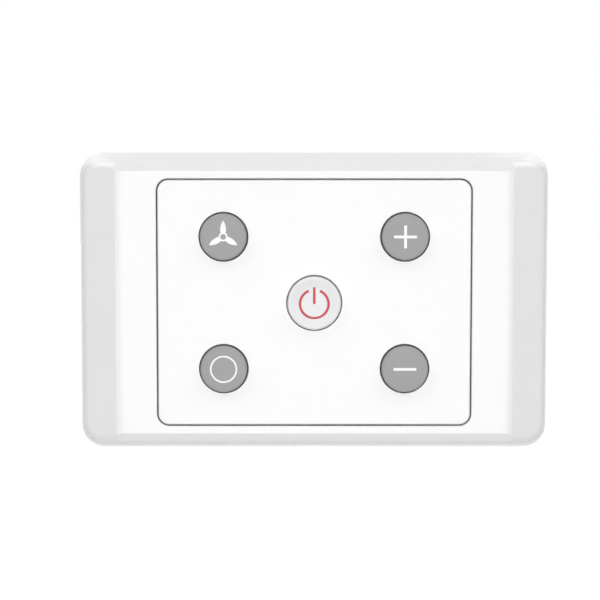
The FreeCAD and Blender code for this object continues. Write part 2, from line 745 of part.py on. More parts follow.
def make_cap(name, across, up, hole, gap, dished):
    """A round cap on a square flange behind the panel, with a cross stem and a key against turning.

    The four outer caps are flat in front, and the power cap has a flat-bottomed dish.
    """
    body = new_body(f"{name}_cap")
    stand_at(body, across, up)
    radius = f"({hole} / 2 - {gap})"
    corners = [
        ("0", CAP_FLANGE_BACK),
        (radius, CAP_FLANGE_BACK),
        (radius, f"{CAP_FRONT} - cap_edge"),
        (f"{radius} - cap_edge", CAP_FRONT),
    ]
    if dished:
        corners += [
            (f"{radius} - cap_edge - cap_rim", CAP_FRONT),
            ("cap_dish_floor / 2", f"{CAP_FRONT} - cap_dish"),
            ("0", f"{CAP_FRONT} - cap_dish"),
        ]
    else:
        corners.append(("0", CAP_FRONT))
    revolve(body, draw_turned(body, "profile", corners))
    flange = new_sketch(body, "flange", CAP_FLANGE_BACK)
    side = f"({hole} + 2 * cap_flange)"
    add_cut_rectangle(flange, side, side, "cap_flange")
    pad(body, flange, "cap_flange_thickness")
    stem = new_sketch(body, "stem", PLUNGER_FRONT)
    add_cross(stem, "cap_stem", "cap_stem_rib")
    pad(body, stem, "cap_stem_length")
    key = new_sketch(body, "key", CAP_FLANGE_FRONT)
    tip = f"(-{radius} - key_reach)"
    left, right = "-key_width / 2", "key_width / 2"
    add_outline(key, [(left, tip), (right, tip), (right, f"-{radius} / 2"), (left, f"-{radius} / 2")])
    pad(body, key, "key_tall")
    return body


def make_plunger(name, across, up):
    """The key switch's own square plunger, which the cap's stem rests on."""
    body = new_body(f"{name}_plunger")
    stand_at(body, across, up)
    outline = new_sketch(body, "outline", f"{SWITCH_FRONT} - plunger_depth")
    add_rectangle(outline, "plunger_across", "plunger_across")
    pad(body, outline, "plunger_depth + plunger_proud")
    bevel_edges(body, PLUNGER_FRONT, "plunger_edge")
    return body


def make_switch(name, across, up):
    """The key switch under a cap: a square housing with a blind bore and four soldered feet."""
    body = new_body(f"{name}_switch")
    stand_at(body, across, up)
    outline = new_sketch(body, "outline", BOARD_FRONT)
    add_rectangle(outline, "switch_side", "switch_side")
    pad(body, outline, "switch_tall")
    feet = new_sketch(body, "feet", BOARD_FRONT)
    for side in (-1, 1):
        add_rectangle(
            feet,
            "(switch_side + 2 * switch_foot_reach)",
            "switch_foot_width",
            "0",
            f"{side} * switch_foot_spacing / 2",
        )
    pad(body, feet, "switch_foot_thickness")
    bore = new_sketch(body, "bore", f"{SWITCH_FRONT} - plunger_depth - 2 * button_travel")
    side = "(plunger_across + 2 * plunger_gap)"
    add_rectangle(bore, side, side)
    pocket(body, bore, "plunger_depth + 2 * button_travel")
    return body


def make_housing_screw(index, across):
    """Cheese-head screw with a cross recess, driven in from behind."""
    body = new_body(f"housing_screw_{index}")
    stand_at(body, across, "0")
    corners = [
        ("0", f"{SCREW_SEAT} - screw_head_tall"),
        ("screw_head_across / 2", f"{SCREW_SEAT} - screw_head_tall"),
        ("screw_head_across / 2", SCREW_SEAT),
        ("screw_across / 2", SCREW_SEAT),
        ("screw_across / 2", f"{SCREW_SEAT} + screw_length"),
        ("0", f"{SCREW_SEAT} + screw_length"),
    ]
    revolve(body, draw_turned(body, "profile", corners))
    for name, wide, tall in (
        ("recess_across", "screw_recess_across", "screw_recess_width"),
        ("recess_up", "screw_recess_width", "screw_recess_across"),
    ):
        recess = new_sketch(body, name, f"{SCREW_SEAT} - screw_head_tall")
        add_rectangle(recess, wide, tall)
        pocket(body, recess, "screw_recess_depth")
    return body


def make_terminal_block():
    """Four-way block: a room for each clamp, a square wire entry below it and a screw well behind it."""
    body = new_body("terminal_block")
    outline = new_sketch(body, "outline", TERMINAL_BACK)
    add_rectangle(
        outline, TERMINAL_WIDTH, TERMINAL_HEIGHT, "0", f"({TERMINAL_BOTTOM} + {TERMINAL_HEIGHT} / 2)"
    )
    pad(body, outline, TERMINAL_TALL)
    rooms = new_sketch(body, "clamp_rooms", f"{CLAMP_BACK} - clamp_gap")
    for across in WAY_PLACES:
        add_rectangle(
            rooms, "(clamp_width + 2 * clamp_gap)", "(clamp_length + 2 * clamp_gap)", across, CLAMP_MIDDLE
        )
    pocket(body, rooms, "clamp_tall + clamp_floor + clamp_gap")
    wells = new_sketch(body, "screw_wells", TERMINAL_BACK)
    for across in WAY_PLACES:
        add_circle(wells, "clamp_screw_across / 2 + clamp_screw_gap", across, CLAMP_MIDDLE)
    pocket(body, wells, "terminal_cap")
    entries = new_sketch(body, "wire_entries", f"-{TERMINAL_BOTTOM}", "XZ_Plane")
    side = "(wire_bore + 2 * wire_entry_flare)"
    for across in WAY_PLACES:
        add_rectangle(entries, side, side, across, WIRE_LEVEL)
    pocket(body, entries, "clamp_set_back", forwards=False)
    return body


def make_wire_clamp(way, across):
    """Brass cage with a round bore for the wire and a tapped hole for its screw."""
    body = new_body(f"wire_clamp_{way}")
    outline = new_sketch(body, "outline", CLAMP_BACK)
    add_rectangle(outline, "clamp_width", "clamp_length", across, CLAMP_MIDDLE)
    pad(body, outline, "clamp_tall")
    bore = new_sketch(body, "bore", f"-{CLAMP_BOTTOM}", "XZ_Plane")
    add_circle(bore, "wire_bore / 2", across, WIRE_LEVEL)
    pocket(body, bore, "clamp_length", forwards=False)
    tapped = new_sketch(body, "tapped_hole", CLAMP_BACK)
    add_circle(tapped, "clamp_screw_across / 2 + clamp_screw_gap", across, CLAMP_MIDDLE)
    pocket(body, tapped, f"{WIRE_LEVEL} - {CLAMP_BACK}")
    return body


def make_clamp_screw(way, across):
    """Slotted grub screw of a clamp, backed out so that the wire bore is open."""
    body = new_body(f"clamp_screw_{way}")
    stand_at(body, across, CLAMP_MIDDLE)
    head = f"({TERMINAL_BACK} + clamp_screw_sunk)"
    corners = [
        ("0", head),
        ("clamp_screw_across / 2", head),
        ("clamp_screw_across / 2", f"{WIRE_LEVEL} - wire_bore / 2 - clamp_gap"),
        ("0", f"{WIRE_LEVEL} - wire_bore / 2 - clamp_gap"),
    ]
    revolve(body, draw_turned(body, "profile", corners))
    slot = new_sketch(body, "slot", head)
    add_rectangle(slot, "(2 * clamp_screw_across)", "clamp_slot_width")
    pocket(body, slot, "clamp_slot_depth")
    return body


def make_case(name, wide, tall, high, corner, across, up):
    """A moulded component case that stands on the back of the board."""
    body = new_body(name)
    outline = new_sketch(body, "outline", f"{BOARD_BACK} - {high}")
    add_cut_rectangle(outline, wide, tall, corner, across, up)
    pad(body, outline, high)
    bevel_edges(body, f"{BOARD_BACK} - {high}", f"{corner} / 2")
    return body


def make_smoothing_capacitor(across, up):
    """A round can that stands on the back of the board."""
    body = new_body("smoothing_capacitor")
    top = f"{BOARD_BACK} - smoothing_tall"
    outline = new_sketch(body, "outline", top)
    add_circle(outline, "smoothing_across / 2", across, up)
    pad(body, outline, "smoothing_tall")
    bevel_edges(body, top, "smoothing_edge")
    return body


def make_suppressor(across, up):
    """A disc on two leads, standing on edge beside the terminal block."""
    body = new_body("surge_suppressor")
    middle = f"({BOARD_BACK} - suppressor_lead - suppressor_across / 2)"
    disc = new_sketch(body, "disc", f"{across} - suppressor_thickness / 2", "YZ_Plane")
    add_circle(disc, "suppressor_across / 2", up, middle)
    pad(body, disc, "suppressor_thickness")
    leads = new_sketch(body, "leads", middle)
    for side in (-1, 1):
        lead_up = f"{up} + {side} * suppressor_across / 4"
        add_rectangle(leads, "component_lead", "component_lead", across, lead_up)
    pad(body, leads, "suppressor_lead + suppressor_across / 2")
    return body


def make_chip():
    """The controller in its small-outline case, on the front of the board between the lower buttons."""
    body = new_body("controller_chip")
    up = f"-{BUTTON_UP}"
    case = new_sketch(body, "case", BOARD_FRONT)
    add_rectangle(case, "chip_width", "chip_height", "0", up)
    pad(body, case, "chip_tall")
    leads = new_sketch(body, "leads", BOARD_FRONT)
    for lead in range(CHIP_LEADS_A_SIDE):
        across = f"({lead - (CHIP_LEADS_A_SIDE - 1) / 2}) * chip_lead_pitch"
        add_rectangle(leads, "chip_lead_width", "(chip_height + 2 * chip_lead_reach)", across, up)
    pad(body, leads, "chip_lead_thickness")
    return body


def make_rectifier():
    """The bridge rectifier, on the front of the board between the upper buttons."""
    body = new_body("rectifier")
    outline = new_sketch(body, "outline", BOARD_FRONT)
    add_cut_rectangle(outline, "rectifier_width", "rectifier_height", "rectifier_corner", "0", BUTTON_UP)
    pad(body, outline, "rectifier_tall")
    bevel_edges(body, f"{BOARD_FRONT} + rectifier_tall", "rectifier_corner / 2")
    return body


def make_lamp():
    """Indicator lamp beside the power switch, under the white cap."""
    body = new_body("indicator_lamp")
    outline = new_sketch(body, "outline", BOARD_FRONT)
    add_circle(outline, "lamp_across / 2", "0", "lamp_offset")
    pad(body, outline, "lamp_tall")
    return body


def make_tall_components():
    """Relays above speed capacitors on the back of the board, with two slim parts at the sides."""
    row_top = f"({INNER_HEIGHT} / 2 - component_gap)"
    relay_up = f"({row_top} - relay_height / 2)"
    second_row = f"({row_top} - relay_height - component_gap - speed_capacitor_height / 2)"
    beside = "(relay_width + 1.5 * component_gap)"
    relay = ("relay_width", "relay_height", "relay_tall", "relay_corner")
    capacitor = (
        "speed_capacitor_width", "speed_capacitor_height", "speed_capacitor_tall", "speed_capacitor_corner"
    )
    fuse = ("fuse_width", "fuse_height", "fuse_tall", "fuse_corner")
    for side, relay_name, index in ((-1, "fan_relay", 1), (1, "light_relay", 2)):
        make_case(relay_name, *relay, f"{side} * (relay_width + component_gap) / 2", relay_up)
        across = f"{side} * (speed_capacitor_width + component_gap) / 2"
        make_case(f"speed_capacitor_{index}", *capacitor, across, second_row)
    make_case("fuse", *fuse, f"(-{beside} - fuse_width / 2)", f"({row_top} - fuse_height / 2)")
    make_smoothing_capacitor(f"({beside} + smoothing_across / 2)", f"({row_top} - smoothing_across / 2)")
    make_suppressor(
        f"({TERMINAL_WIDTH} / 2 + component_gap + suppressor_thickness / 2)",
        f"({TERMINAL_BOTTOM} + suppressor_across / 2)",
    )


make_cover_plate()
make_grid_plate()
make_rear_housing()
make_circuit_board()
for name, across, up, hole, gap in BUTTONS:
    make_cap(name, across, up, hole, gap, dished=name == "power")
    make_plunger(name, across, up)
    make_switch(name, across, up)
for index, across in enumerate(SCREW_PLACES, start=1):
    make_housing_screw(index, across)
make_terminal_block()
for way, across in enumerate(WAY_PLACES, start=1):
    make_wire_clamp(way, across)
    make_clamp_screw(way, across)
make_lamp()
make_chip()
make_rectifier()
make_tall_components()

doc.recompute()
os.makedirs("parts", exist_ok=True)
bodies = [item for item in doc.Objects if item.TypeId == "PartDesign::Body"]
for item in doc.Objects:
    if {"Invalid", "Error"} & set(item.State):
        raise RuntimeError(f"{item.Name} failed: {item.State}")
for body in bodies:
    if body.Shape.isNull() or not body.Shape.isValid():
        raise RuntimeError(f"{body.Label} has no valid shape")
for body in bodies:
    body.Shape.exportStep(f"parts/{body.Label}.step")
print(len(bodies), "pieces written")
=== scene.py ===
"""Dresses the wall-mounted fan speed control and sets its stage.

Lengths are in metres, in the part's own frame: +X to the user's right, +Y into the wall, +Z up.
A level is a place along Y, so what lies nearer to the user has the lower level.
"""

import math
from contextlib import contextmanager

import bmesh
import bpy
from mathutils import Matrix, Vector


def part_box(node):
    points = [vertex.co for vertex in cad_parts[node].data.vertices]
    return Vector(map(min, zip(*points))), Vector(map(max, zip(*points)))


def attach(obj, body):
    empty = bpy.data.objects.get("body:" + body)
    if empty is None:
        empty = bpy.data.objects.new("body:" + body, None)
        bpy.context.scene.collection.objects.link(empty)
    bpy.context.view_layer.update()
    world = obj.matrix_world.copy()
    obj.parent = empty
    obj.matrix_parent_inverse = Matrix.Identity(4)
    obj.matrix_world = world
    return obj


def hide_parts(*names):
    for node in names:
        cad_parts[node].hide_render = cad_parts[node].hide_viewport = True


bl_info = {
    "name": "Fan Speed Control Switch",
    "version": (1, 0, 0),
    "blender": (4, 5, 0),
    "location": "View3D > Sidebar > Fan Control",
    "description": "Dresses the wall-mounted fan speed control and sets its stage",
    "category": "Object",
}

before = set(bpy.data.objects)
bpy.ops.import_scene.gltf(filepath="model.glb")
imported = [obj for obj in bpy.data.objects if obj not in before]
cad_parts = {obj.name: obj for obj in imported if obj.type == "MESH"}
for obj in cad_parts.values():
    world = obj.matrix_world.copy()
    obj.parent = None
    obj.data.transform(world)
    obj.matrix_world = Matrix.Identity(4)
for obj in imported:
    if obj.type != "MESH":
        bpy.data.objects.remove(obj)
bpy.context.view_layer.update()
BUTTONS = ("fan", "plus", "light", "minus", "power")
TERMINAL_WAYS = (1, 2, 3, 4)
TINY = 1e-6

# How many steps a round form is made of
ROUND_STEPS = 128
CORNER_STEPS = 14
SIDE_EDGE_STEPS = 8
END_EDGE_STEPS = 7
CREASE_STEPS = 3
ROLL_STEPS = 5
WINDOW_EDGE_STEPS = 3
CAP_EDGE_STEPS = 6
DISH_EDGE_STEPS = 4
BAR_CORNER_STEPS = 4

# Degrees between two faces, below which the edge between them is smooth
COVER_SMOOTH = 9.5
PANEL_SMOOTH = 30
CAP_SMOOTH = 35
PRINT_SMOOTH = 35

# The stage: metres, the strength of a glow, and the camera's sensor in millimetres
FLOOR_WIDTH = 40
FLOOR_GLOW = 0.97
NEAREST_SEEN = 0.01
SENSOR_WIDTH = 36


# Sizes and colours that a user would change


def length(label, meaning, size):
    """A property that holds a length in metres."""
    return bpy.props.FloatProperty(
        name=label, description=meaning, default=size, precision=5, unit="LENGTH", subtype="DISTANCE"
    )


def amount(label, meaning, value):
    """A property that holds a plain number."""
    return bpy.props.FloatProperty(name=label, description=meaning, default=value, precision=3)


def turn(label, meaning, degrees):
    """A property that holds an angle."""
    return bpy.props.FloatProperty(
        name=label, description=meaning, default=math.radians(degrees), unit="ROTATION", subtype="ANGLE"
    )


def paint(label, meaning, colour):
    """A property that holds a linear colour."""
    return bpy.props.FloatVectorProperty(
        name=label, description=meaning, default=colour, size=3, min=0, max=1, subtype="COLOR"
    )


class CoverSizes(bpy.types.PropertyGroup):
    side_depth: length("Side depth", "Height of the side walls, up to the shoulder", 0.0064)
    side_draft: length("Side draft", "How far the side walls lean in, up to the shoulder", 0.0015)
    side_bevel: length("Side bevel", "Width of the bevels at the left and right", 0.0082)
    end_inset: length("End inset", "Distance from the rim to the creases at the top and bottom", 0.0048)
    corner: length("Corner", "Radius of the plate's four corners", 0.0057)
    roll: length("Roll", "How far the face rolls off inside a side crease", 0.0024)
    roll_slope: turn("Roll slope", "Slope of the face at a side crease", 7.5)
    end_crease: length("End crease", "Radius of the creases at the top and bottom", 0.0012)
    shoulder: length("Shoulder", "Radius between the bevels and the walls", 0.0023)
    end_roll: length(
        "End roll", "Radius of the side bevels' ends, where they roll into the end walls", 0.0034
    )
    wall: length("Wall", "Thickness of the side walls", 0.0020)
    window_gap: length("Window gap", "Gap between the window and the panel in it", 0.00035)
    window_corner: length("Window corner", "Radius of the window's corners", 0.0030)
    window_edge: length("Window edge", "Rounding of the window's front edge", 0.0002)
    lip_width: length("Lip width", "Width of the lip behind the window", 0.0013)
    lip_depth: length("Lip depth", "Depth of the lip behind the window", 0.0010)
    catch_spacing: length("Catch spacing", "Distance between the two catches on one wall", 0.060)
    catch_width: length("Catch width", "Width of a catch", 0.010)
    catch_depth: length("Catch depth", "Thickness of a catch", 0.0010)
    catch_gap: length("Catch gap", "Distance from a catch to the wall plane", 0.0002)
    catch_nose: length("Catch nose", "How far a catch stands in from the rim's inner edge", 0.00156)
    pry_width: length("Pry slot width", "Width of the slot that lifts the cover off", 0.008)
    pry_depth: length("Pry slot depth", "Depth of the slot that lifts the cover off", 0.0012)


class ButtonSizes(bpy.types.PropertyGroup):
    edge: length("Edge", "Rounding of a cap's front edge", 0.00045)
    flange_front: length("Flange front", "Level of the flange's front", -0.0059)
    flange_back: length("Flange back", "Level of the flange's back", -0.0049)
    flange_corner: length("Flange corner", "How much of a flange's corners is cut off", 0.0011)
    stem: length("Stem", "Width of the cross that presses the switch", 0.0032)
    stem_rib: length("Stem rib", "Thickness of the ribs of that cross", 0.0010)
    key_width: length("Key width", "Width of the key that stops a cap from turning", 0.0012)
    key_reach: length("Key reach", "How far the key stands out from the cap", 0.0008)
    key_tall: length("Key depth", "How far the key runs forward from the flange", 0.0009)
    clearance: length("Clearance", "Gap between a cap and the hole it stands in", 0.00042)
    dish: length("Dish", "Depth of the dish in the power cap", 0.00045)
    dish_rim: length("Dish rim", "Width of the flat rim round the dish", 0.0002)
    dish_floor: length("Dish floor", "Radius of the flat part of the dish", 0.0038)


class MarkSizes(bpy.types.PropertyGroup):
    proud: length("Print height", "How far the print stands proud of a cap", 0.00003)
    sunk: length("Print depth", "How far the print reaches into a cap", 0.00008)
    blade_tip: length("Blade tip", "Distance from the fan's hub to a blade's tip", 0.00398)
    blade_root: length("Blade root", "Distance from a blade's tip to its other end", 0.00435)
    blade_width: length("Blade width", "Width of a fan blade", 0.00142)
    hub: length("Hub", "Outer radius of the ring round the fan's hub", 0.00110)
    hub_hole: length("Hub hole", "Inner radius of the ring round the fan's hub", 0.00068)
    bar_length: length("Bar length", "Length of the bars of plus and minus", 0.00560)
    bar_width: length("Bar width", "Width of the bars of plus and minus", 0.00068)
    ring: length("Ring", "Outer radius of the lamp button's ring", 0.00334)
    ring_width: length("Ring width", "Width of the lamp button's ring", 0.00040)
    power_ring: length("Power ring", "Outer radius of the power mark's ring", 0.00380)
    power_width: length("Power line", "Width of the power mark's lines", 0.00063)
    power_opening: turn("Power opening", "Half the opening at the top of the power mark", 23)
    power_bar: length("Power bar", "Length of the power mark's bar", 0.00441)
    power_drop: length("Power drop", "How far the power mark sits below the cap's middle", 0.0002)


class Finishes(bpy.types.PropertyGroup):
    cover: paint("Cover", "Colour of the cover plate", (0.90, 0.90, 0.90))
    panel: paint("Panel", "Colour of the raised panel", (0.90, 0.90, 0.90))
    grey_cap: paint("Grey cap", "Colour of the four outer caps", (0.36, 0.36, 0.36))
    white_cap: paint("White cap", "Colour of the power cap", (0.89, 0.89, 0.89))
    white_ink: paint("White ink", "Colour of the white marks", (0.95, 0.95, 0.95))
    red_ink: paint("Red ink", "Colour of the power mark", (0.56, 0.045, 0.06))
    housing: paint("Housing", "Colour of the rear housing", (0.72, 0.72, 0.70))
    board: paint("Board", "Colour of the circuit board", (0.02, 0.11, 0.045))


class StageSettings(bpy.types.PropertyGroup):
    pitch: turn("Camera pitch", "How far the camera looks down", 3.74)
    distance: length("Camera distance", "Distance from the camera to what it aims at", 0.3658)
    aim_across: length("Aim across", "Where the camera aims, left and right", -0.00349)
    aim_up: length("Aim up", "Where the camera aims, up and down", 0.00013)
    lens: amount("Lens", "Focal length of the camera in millimetres", 87.34)
    front_radiance: amount("Front level", "Radiance of the softbox behind the camera", 4.1)
    side_radiance: amount("Side level", "Radiance of the softboxes at the upper left and right", 3.2)
    top_radiance: amount("Top level", "Radiance of the softboxes overhead", 1.7)
    back_radiance: amount("Back level", "Radiance of the softbox behind the object", 3.0)
    rim_radiance: amount("Rim level", "Radiance of the lights that catch the upper corners", 0.6)
    ambient: amount("Ambient", "Strength of the light from all round", 0.085)
    floor_drop: length("Floor drop", "How far below the object the floor lies", 0.45)


# Modelling helpers


def deselect():
    bpy.ops.object.select_all(action="DESELECT")


def make_active(piece):
    deselect()
    piece.select_set(True)
    bpy.context.view_layer.objects.active = piece


def apply_place():
    """Moves the active object's place and turn into its mesh."""
    bpy.ops.object.transform_apply(location=True, rotation=True, scale=True)


@contextmanager
def editing(piece):
    """Edit mode on one piece."""
    make_active(piece)
    bpy.ops.object.mode_set(mode="EDIT")
    yield
    bpy.ops.object.mode_set(mode="OBJECT")


def pick(piece, kind, wanted):
    """In edit mode, selects the faces or edges that pass a test, and nothing else."""
    bpy.context.tool_settings.mesh_select_mode = (False, kind == "edges", kind == "faces")
    bpy.ops.mesh.select_all(action="DESELECT")
    mesh = bmesh.from_edit_mesh(piece.data)
    found = [item for item in getattr(mesh, kind) if wanted(item)]
    if not found:
        raise RuntimeError(f"{piece.name}: no such {kind}")
    for item in found:
        item.select_set(True)
    bmesh.update_edit_mesh(piece.data)


def faces_user(face):
    return face.normal.y < -0.99


def faces_wall(face):
    return face.normal.y > 0.99


def runs_deep(edge):
    """True for an edge that runs along Y."""
    return abs(edge.verts[0].co.y - edge.verts[1].co.y) > TINY


def apply_modifier(piece, modifier):
    make_active(piece)
    bpy.ops.object.modifier_apply(modifier=modifier.name)


def combine(piece, tool, operation):
    """Unites, cuts or intersects a piece with a tool, which is used up."""
    modifier = piece.modifiers.new("combine", "BOOLEAN")
    modifier.object = tool
    modifier.operation = operation
    modifier.solver = "EXACT"
    apply_modifier(piece, modifier)
    bpy.data.objects.remove(tool)


def add_block(lowest, highest):
    """A box between two corners."""
    lowest, highest = Vector(lowest), Vector(highest)
    deselect()
    bpy.ops.mesh.primitive_cube_add(size=1, location=(lowest + highest) / 2, scale=highest - lowest)
    apply_place()
    return bpy.context.object


def add_rounded_block(width, height, corner, front, back, draft=0):
    """A box with rounded corners between two levels, whose front is drawn in by the draft."""
    block = add_block((-width / 2, front, -height / 2), (width / 2, back, height / 2))
    with editing(block):
        pick(block, "faces", faces_user)
        shrink = (1 - 2 * draft / width, 1, 1 - 2 * draft / height)
        bpy.ops.transform.resize(value=shrink, center_override=(0, 0, 0))
        pick(block, "edges", runs_deep)
        bpy.ops.mesh.bevel(offset=corner, segments=CORNER_STEPS, affect="EDGES")
    return block


def add_disc(radius, front, back, across=0, up=0):
    """A round block between two levels."""
    deselect()
    bpy.ops.mesh.primitive_cylinder_add(
        vertices=ROUND_STEPS,
        radius=radius,
        depth=back - front,
        location=(across, (front + back) / 2, up),
        rotation=(math.pi / 2, 0, 0),
    )
    apply_place()
    return bpy.context.object


def add_ring(outer, width, front, back, opening=0):
    """A flat ring about the Y axis, closed, or with a gap of twice the opening."""
    deselect()
    bpy.ops.mesh.primitive_plane_add(size=1, location=(outer - width / 2, (front + back) / 2, 0))
    ring = bpy.context.object
    ring.scale = (width, back - front, 1)
    apply_place()
    with editing(ring):
        bpy.ops.mesh.select_all(action="SELECT")
        if not opening:
            bpy.ops.mesh.delete(type="ONLY_FACE")
            bpy.ops.mesh.select_all(action="SELECT")
        bpy.ops.mesh.spin(
            steps=ROUND_STEPS, angle=2 * math.pi - 2 * opening, center=(0, 0, 0), axis=(0, 1, 0)
        )
        bpy.ops.mesh.select_all(action="SELECT")
        bpy.ops.mesh.remove_doubles(threshold=TINY)
        bpy.ops.mesh.normals_make_consistent(inside=False)
    return ring


def place(piece, across, up, turned=0):
    """Turns a piece about the Y axis, then moves it, with both kept in its mesh."""
    make_active(piece)
    piece.rotation_euler = (0, turned, 0)
    apply_place()
    piece.location = (across, 0, up)
    apply_place()


def copy_of(piece):
    make_active(piece)
    bpy.ops.object.duplicate()
    return bpy.context.object


def finish_piece(piece, name, body, material, smooth_below):
    """Names a piece, smooths it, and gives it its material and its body."""
    make_active(piece)
    piece.name = name
    piece.data.name = name
    bpy.ops.object.shade_smooth_by_angle(angle=math.radians(smooth_below))
    piece.data.materials.clear()
    piece.data.materials.append(material)
    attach(piece, body)


def front_part(node, level):
    """Lowest and highest corner of what a CAD node has in front of a level."""
    points = [vertex.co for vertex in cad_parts[node].data.vertices if vertex.co.y < level]
    lowest = Vector([min(point[axis] for point in points) for axis in range(3)])
    highest = Vector([max(point[axis] for point in points) for axis in range(3)])
    return lowest, highest


def cap_face(button, size):
    """Radius of a cap's round part and the level of its face."""
    lowest, highest = front_part(f"{button}_cap", size.flange_front - size.key_tall - TINY)
    return (highest.x - lowest.x) / 2, lowest.y


def axis_of(button):
    """Where a button's axis stands, across and up."""
    lowest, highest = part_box(f"{button}_plunger")
    middle = (lowest + highest) / 2
    return middle.x, middle.z


# Materials


class Finish:
    """A material of one Principled shader, whose patterns read the piece's own coordinates."""

    def __init__(self, name, colour, roughness, metallic=0.0):
        self.material = bpy.data.materials.new(name)
        self.material.use_nodes = True
        self.nodes = self.material.node_tree.nodes
        self.shader = self.nodes["Principled BSDF"]
        self.colour = (*colour, 1)
        self.shader.inputs["Base Color"].default_value = self.colour
        self.shader.inputs["Roughness"].default_value = roughness
        self.shader.inputs["Metallic"].default_value = metallic
        self.coordinates = self.nodes.new("ShaderNodeTexCoord").outputs["Object"]

    def link(self, start, end):
        self.material.node_tree.links.new(start, end)

    def stretched(self, stretch):
        """The piece's coordinates, stretched along the three axes."""
        mapping = self.nodes.new("ShaderNodeMapping")
        mapping.inputs["Scale"].default_value = stretch
        self.link(self.coordinates, mapping.inputs["Vector"])
        return mapping.outputs["Vector"]

    def noise(self, size, detail=2, stretch=None):
        """Cloudy noise whose patches have about the given size."""
        texture = self.nodes.new("ShaderNodeTexNoise")
        texture.inputs["Scale"].default_value = 1 / size
        texture.inputs["Detail"].default_value = detail
        self.link(self.stretched(stretch) if stretch else self.coordinates, texture.inputs["Vector"])
        return texture.outputs["Fac"]

    def cells(self, size):
        """Small pits or grains of about the given size."""
        texture = self.nodes.new("ShaderNodeTexVoronoi")
        texture.inputs["Scale"].default_value = 1 / size
        self.link(self.coordinates, texture.inputs["Vector"])
        return texture.outputs["Distance"]

    def spread(self, source, low, high):
        """The source's middle range, spread between two values."""
        ramp = self.nodes.new("ShaderNodeMapRange")
        ramp.inputs["From Min"].default_value = 0.3
        ramp.inputs["From Max"].default_value = 0.7
        ramp.inputs["To Min"].default_value = low
        ramp.inputs["To Max"].default_value = high
        self.link(source, ramp.inputs["Value"])
        return ramp.outputs["Result"]

    def mottle(self, source, share):
        """Lets the colour vary by a share, up and down, with the source."""
        mix = self.nodes.new("ShaderNodeMix")
        mix.data_type = "RGBA"
        darker = [part * (1 - share) for part in self.colour[:3]]
        lighter = [min(1, part * (1 + share)) for part in self.colour[:3]]
        mix.inputs["A"].default_value = (*darker, 1)
        mix.inputs["B"].default_value = (*lighter, 1)
        self.link(self.spread(source, 0, 1), mix.inputs["Factor"])
        self.link(mix.outputs["Result"], self.shader.inputs["Base Color"])

    def vary_roughness(self, source, low, high):
        self.link(self.spread(source, low, high), self.shader.inputs["Roughness"])

    def bump(self, source, height):
        """A relief of the given height in metres."""
        relief = self.nodes.new("ShaderNodeBump")
        relief.inputs["Strength"].default_value = 1
        relief.inputs["Distance"].default_value = height
        self.link(source, relief.inputs["Height"])
        self.link(relief.outputs["Normal"], self.shader.inputs["Normal"])


# Roughness is a pair, lowest and highest. Grain is the size of the texture, relief its height.


def moulded(name, colour, roughness, grain, relief, mottle=0.012, ior=1.5):
    """Moulded plastic: an even colour with a faint mottle, and a fine grain in gloss and relief."""
    finish = Finish(name, colour, sum(roughness) / 2)
    finish.shader.inputs["IOR"].default_value = ior
    finish.mottle(finish.noise(0.006, detail=3), mottle)
    finish.vary_roughness(finish.noise(0.0012, detail=4), *roughness)
    finish.bump(finish.noise(grain, detail=3), relief)
    return finish.material


def spark_eroded(name, colour, roughness, grain, relief):
    """Moulded plastic with the pitted texture of a spark-eroded mould."""
    finish = Finish(name, colour, sum(roughness) / 2)
    finish.mottle(finish.noise(0.004, detail=4), 0.02)
    finish.vary_roughness(finish.noise(0.0008, detail=3), *roughness)
    finish.bump(finish.cells(grain), relief)
    return finish.material


def printed_ink(name, colour, roughness):
    """Ink with a slightly uneven coat."""
    finish = Finish(name, colour, sum(roughness) / 2)
    finish.mottle(finish.noise(0.0005, detail=4), 0.03)
    finish.vary_roughness(finish.noise(0.0003, detail=2), *roughness)
    finish.bump(finish.noise(0.00008), 0.000001)
    return finish.material


def plated_steel(name):
    """Zinc-plated steel, with the cloudy sheen of the plating and fine turning lines."""
    finish = Finish(name, (0.62, 0.63, 0.62), 0.32, metallic=1)
    finish.mottle(finish.noise(0.0012, detail=4), 0.08)
    finish.vary_roughness(finish.noise(0.0005, detail=4), 0.24, 0.42)
    finish.bump(finish.noise(0.0001, detail=2, stretch=(1, 6, 1)), 0.000004)
    return finish.material


def machined_brass(name):
    """Brass with lines left by the cutter and a dull film in patches."""
    finish = Finish(name, (0.72, 0.50, 0.20), 0.3, metallic=1)
    finish.mottle(finish.noise(0.0015, detail=4), 0.12)
    finish.vary_roughness(finish.noise(0.0008, detail=4), 0.22, 0.42)
    finish.bump(finish.noise(0.0002, detail=2, stretch=(8, 8, 1)), 0.000005)
    return finish.material


def board_laminate(name, colour):
    """Solder mask over a woven glass laminate."""
    finish = Finish(name, colour, 0.35)
    weave = finish.nodes.new("ShaderNodeTexChecker")
    weave.inputs["Scale"].default_value = 2500
    finish.link(finish.coordinates, weave.inputs["Vector"])
    finish.mottle(finish.noise(0.0025, detail=5), 0.18)
    finish.vary_roughness(finish.noise(0.0006, detail=3), 0.28, 0.42)
    finish.bump(weave.outputs["Fac"], 0.000004)
    return finish.material


# Operators


